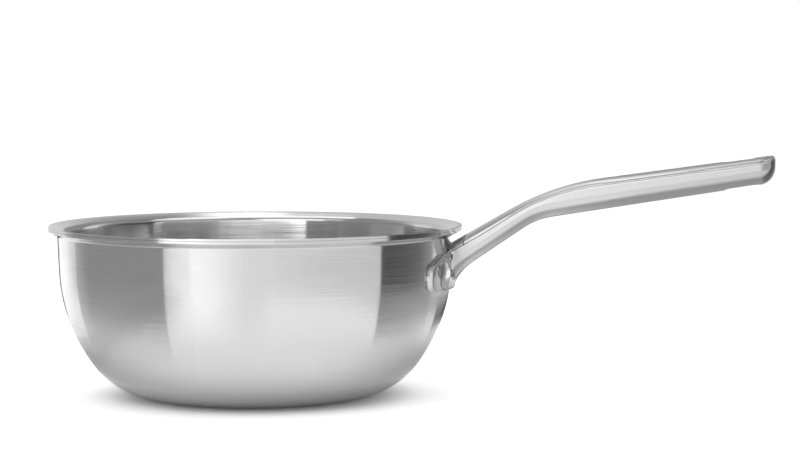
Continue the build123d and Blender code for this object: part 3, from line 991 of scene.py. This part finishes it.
# %% Dark edges, and light beside the rivet
EDGE_LEVEL = (even(0.02), EVEN_UP)
BRIGHT_LEVEL = (even(1.5), EVEN_UP)
wall_card("left_edge_card", (-75, -89), EDGE_LEVEL, (WHOLE, ((44.0, 0.0), (54.0, 1.0))))
wall_card(
    "right_edge_card", (70, 88), EDGE_LEVEL,
    cover=(WHOLE, ((42.0, 0.0), (50.0, 1.0), (62.0, 1.0), (70.0, 0.0))),
)
wall_card(
    "rivet_light_card", (62, 88), BRIGHT_LEVEL,
    cover=(((0.0, 0.0), (0.2, 1.0), (1.0, 1.0)), ((66.0, 0.0), (74.0, 1.0))),
    heights=(66.0, 104.0),
)

# %% Shade at the bowl's foot, and a glow at its left
SHADE_HEIGHTS = (15.0, 50.0)
SHADE_COVER = (
    ((0.0, 0.0), (0.2, 0.12), (0.4, 0.35), (0.6, 0.62), (0.8, 0.85), (1.0, 0.95)),
    ((15.0, 0.5), (20.0, 1.0), (28.0, 1.0), (36.0, 0.6), (46.0, 0.1), (50.0, 0.0)),
)
for name, turns in (("left_shade", (-15, -75)), ("right_shade", (20, 80))):
    wall_card(name, turns, (even(0.4), EVEN_UP), SHADE_COVER, SHADE_HEIGHTS)
wall_card(
    "left_glow_card", (-59, -77), BRIGHT_LEVEL,
    cover=(((0.0, 0.0), (0.35, 1.0), (0.8, 1.0), (1.0, 0.0)), ((54.0, 0.0), (78.0, 1.0))),
)

# %% Cards that stand behind those on the floor
BAND_CARD_HEIGHT, POOL_CARD_HEIGHT = 0.8, 0.12


def standing_card(name, turns, height, sideways):
    """A card that stands on the far edge of a card on the floor."""
    def place(along_it, upwards):
        foot = mirrored_floor(between(turns, along_it), BAND_HEIGHTS[1])
        return foot + Vector((0, 0, height * upwards))
    graded_card(name, place, (sideways, WHOLE))


standing_card("left_card", LEFT_TURNS, BAND_CARD_HEIGHT, ((0.0, 0.34), (0.85, 0.34), (1.0, 0.6)))
standing_card("right_card", RIGHT_TURNS, BAND_CARD_HEIGHT, ((0.0, 0.06), (0.6, 0.12), (1.0, 0.4)))
standing_card(
    "pool_card", POOL_TURNS, POOL_CARD_HEIGHT,
    ((0.0, 1.1), (0.1, 1.5), (0.3, 1.4), (0.5, 1.15), (0.8, 1.0), (1.0, 1.0)),
)

# %% [markdown]
# ## Cards for the rim, the handle and the inside
#
# The lip and the handle are curved both ways, so they show a wide piece of the room as thin lines.
# Flat cards behind the pan and one on the floor under the handle are enough for them. The inside of
# the far wall faces the camera, and shows what stands in front of the pan, over the near rim. Its
# cards stand in an arc round the pan, because it is round too.


# %% Flat cards
def flat_card(name, low_corner, sideways, upwards, level, cover=(WHOLE, WHOLE)):
    """A plain rectangular card from one corner along two directions."""
    def place(first, second):
        return low_corner + sideways * first + upwards * second
    graded_card(name, place, level, cover)


across_view = studio_place(90, 1.0)
away = studio_place(180, 1.0)
up = Vector((0, 0, 1.0))

# %% Cards behind the pan
BACK_DISTANCE, BACK_WIDTH = 1.6, 3.0
BACK_HEIGHT, HIGH_BACK_HEIGHT = 1.8, 2.6
back_corner = away * BACK_DISTANCE - across_view * (BACK_WIDTH / 2)
flat_card(
    "back_card", back_corner, across_view * BACK_WIDTH, up * BACK_HEIGHT,
    level=(((0.0, 0.74), (0.50, 0.74), (0.56, 0.36), (1.0, 0.36)), WHOLE),
)
HIGH_BACK_LEVELS = (
    (0.0, 0.55), (0.42, 0.55), (0.44, 1.8), (0.53, 1.8), (0.55, 0.5), (0.58, 0.25), (1.0, 0.25),
)
flat_card(
    "high_back_card", back_corner + up * BACK_HEIGHT, across_view * BACK_WIDTH,
    up * HIGH_BACK_HEIGHT, level=(HIGH_BACK_LEVELS, even(1.3)),
)

# %% Card under the handle
HANDLE_CARD_LEFT, HANDLE_CARD_WIDTH = 0.18, 0.2
HANDLE_CARD_NEAR, HANDLE_CARD_LENGTH = 0.5, 1.1
HANDLE_CARD_LIFT = 5 * CARD_LIFT  # above all the other cards on the floor
flat_card(
    "handle_floor_card",
    across_view * HANDLE_CARD_LEFT - away * HANDLE_CARD_NEAR + up * HANDLE_CARD_LIFT,
    across_view * HANDLE_CARD_WIDTH, away * HANDLE_CARD_LENGTH,
    level=(WHOLE, ((0.0, 0.85), (0.3, 0.6), (0.45, 0.5), (1.0, 0.38))),
    cover=(
        ((0.0, 0.0), (0.35, 1.0), (0.85, 1.0), (1.0, 0.0)),
        ((0.0, 0.0), (0.25, 0.3), (0.4, 0.75), (0.48, 1.0), (0.8, 1.0), (1.0, 0.0)),
    ),
)

# %% Cards that the inside shows
LIGHT_TURNS = (-30.7, 29)
SIDE_DISTANCE, LIGHT_DISTANCE = 0.63, 0.635
INSIDE_BOTTOM, INSIDE_HEIGHT = 0.125, 0.30


def arc_card(name, azimuths, distance, level):
    """A card that stands in an arc round the pan, raised above the floor."""
    def place(along_it, upwards):
        height = INSIDE_BOTTOM + INSIDE_HEIGHT * upwards
        return studio_place(between(azimuths, along_it), distance, height)
    graded_card(name, place, level)


arc_card(
    "inside_light_card", LIGHT_TURNS, LIGHT_DISTANCE,
    (((0.0, 1.9), (0.08, 1.7), (0.2, 1.2), (0.35, 0.95), (0.8, 0.95), (1.0, 0.6)), even(1.4)),
)
arc_card("inside_left_card", (-62, LIGHT_TURNS[0]), SIDE_DISTANCE, (even(0.34), WHOLE))
arc_card(
    "inside_right_card", (LIGHT_TURNS[1], 70), SIDE_DISTANCE, (((0.0, 0.6), (1.0, 0.4)), WHOLE)
)

# %% [markdown]
# ## Soft boxes
#
# Two big, weak lamps light the pan. A small strong lamp would leave a burnt spot in every curve of
# the steel, so these are made large, and each shows in the lip as a pale patch and not a hole.

# %% Soft boxes
BOWL_MIDDLE = Vector((0, 0, 0.06))


def soft_box(name, place, size, watts):
    """An area lamp that looks at the middle of the bowl."""
    select_only()
    bpy.ops.object.light_add(type="AREA", location=place)
    lamp = bpy.context.object
    lamp.name = name
    lamp.data.shape = "RECTANGLE"
    lamp.data.size, lamp.data.size_y = size
    lamp.data.energy = watts
    lamp.rotation_euler = (BOWL_MIDDLE - place).to_track_quat("-Z", "Y").to_euler()
    lamp.visible_camera = False
    print(name, "gives", watts, "W from", size[0], "by", size[1], "m")


soft_box("front_soft_box", studio_place(-30, 1.7, height=1.3), size=(2.0, 1.3), watts=9.3)
soft_box("overhead_soft_box", studio_place(150, 0.25, height=1.6), size=(1.8, 1.0), watts=7)

# %% [markdown]
# ## The camera
#
# A long lens from a little above the rim, turned nine degrees towards the handle's side. The place
# and the angle were worked out from the ellipses of the rim and the base. A shorter lens would come
# nearer, and would open the rim's ellipse too much.

# %% Camera
CAMERA_TILT = radians(85.863)  # from straight down, so a little below level
SENSOR_WIDTH, LENS = 36.0, 105.93
bpy.ops.object.camera_add(location=CAMERA_PLACE, rotation=(CAMERA_TILT, 0, CAMERA_TURN))
camera = bpy.context.object
camera.name = "photo_camera"
camera.data.sensor_width = SENSOR_WIDTH
camera.data.lens = LENS
bpy.context.scene.camera = camera
bpy.context.scene.view_settings.view_transform = "Standard"
print("the lens is", LENS, "mm long")

# %% [markdown]
# ## Clearing the selection
#
# The script ends with nothing selected.


select_only()
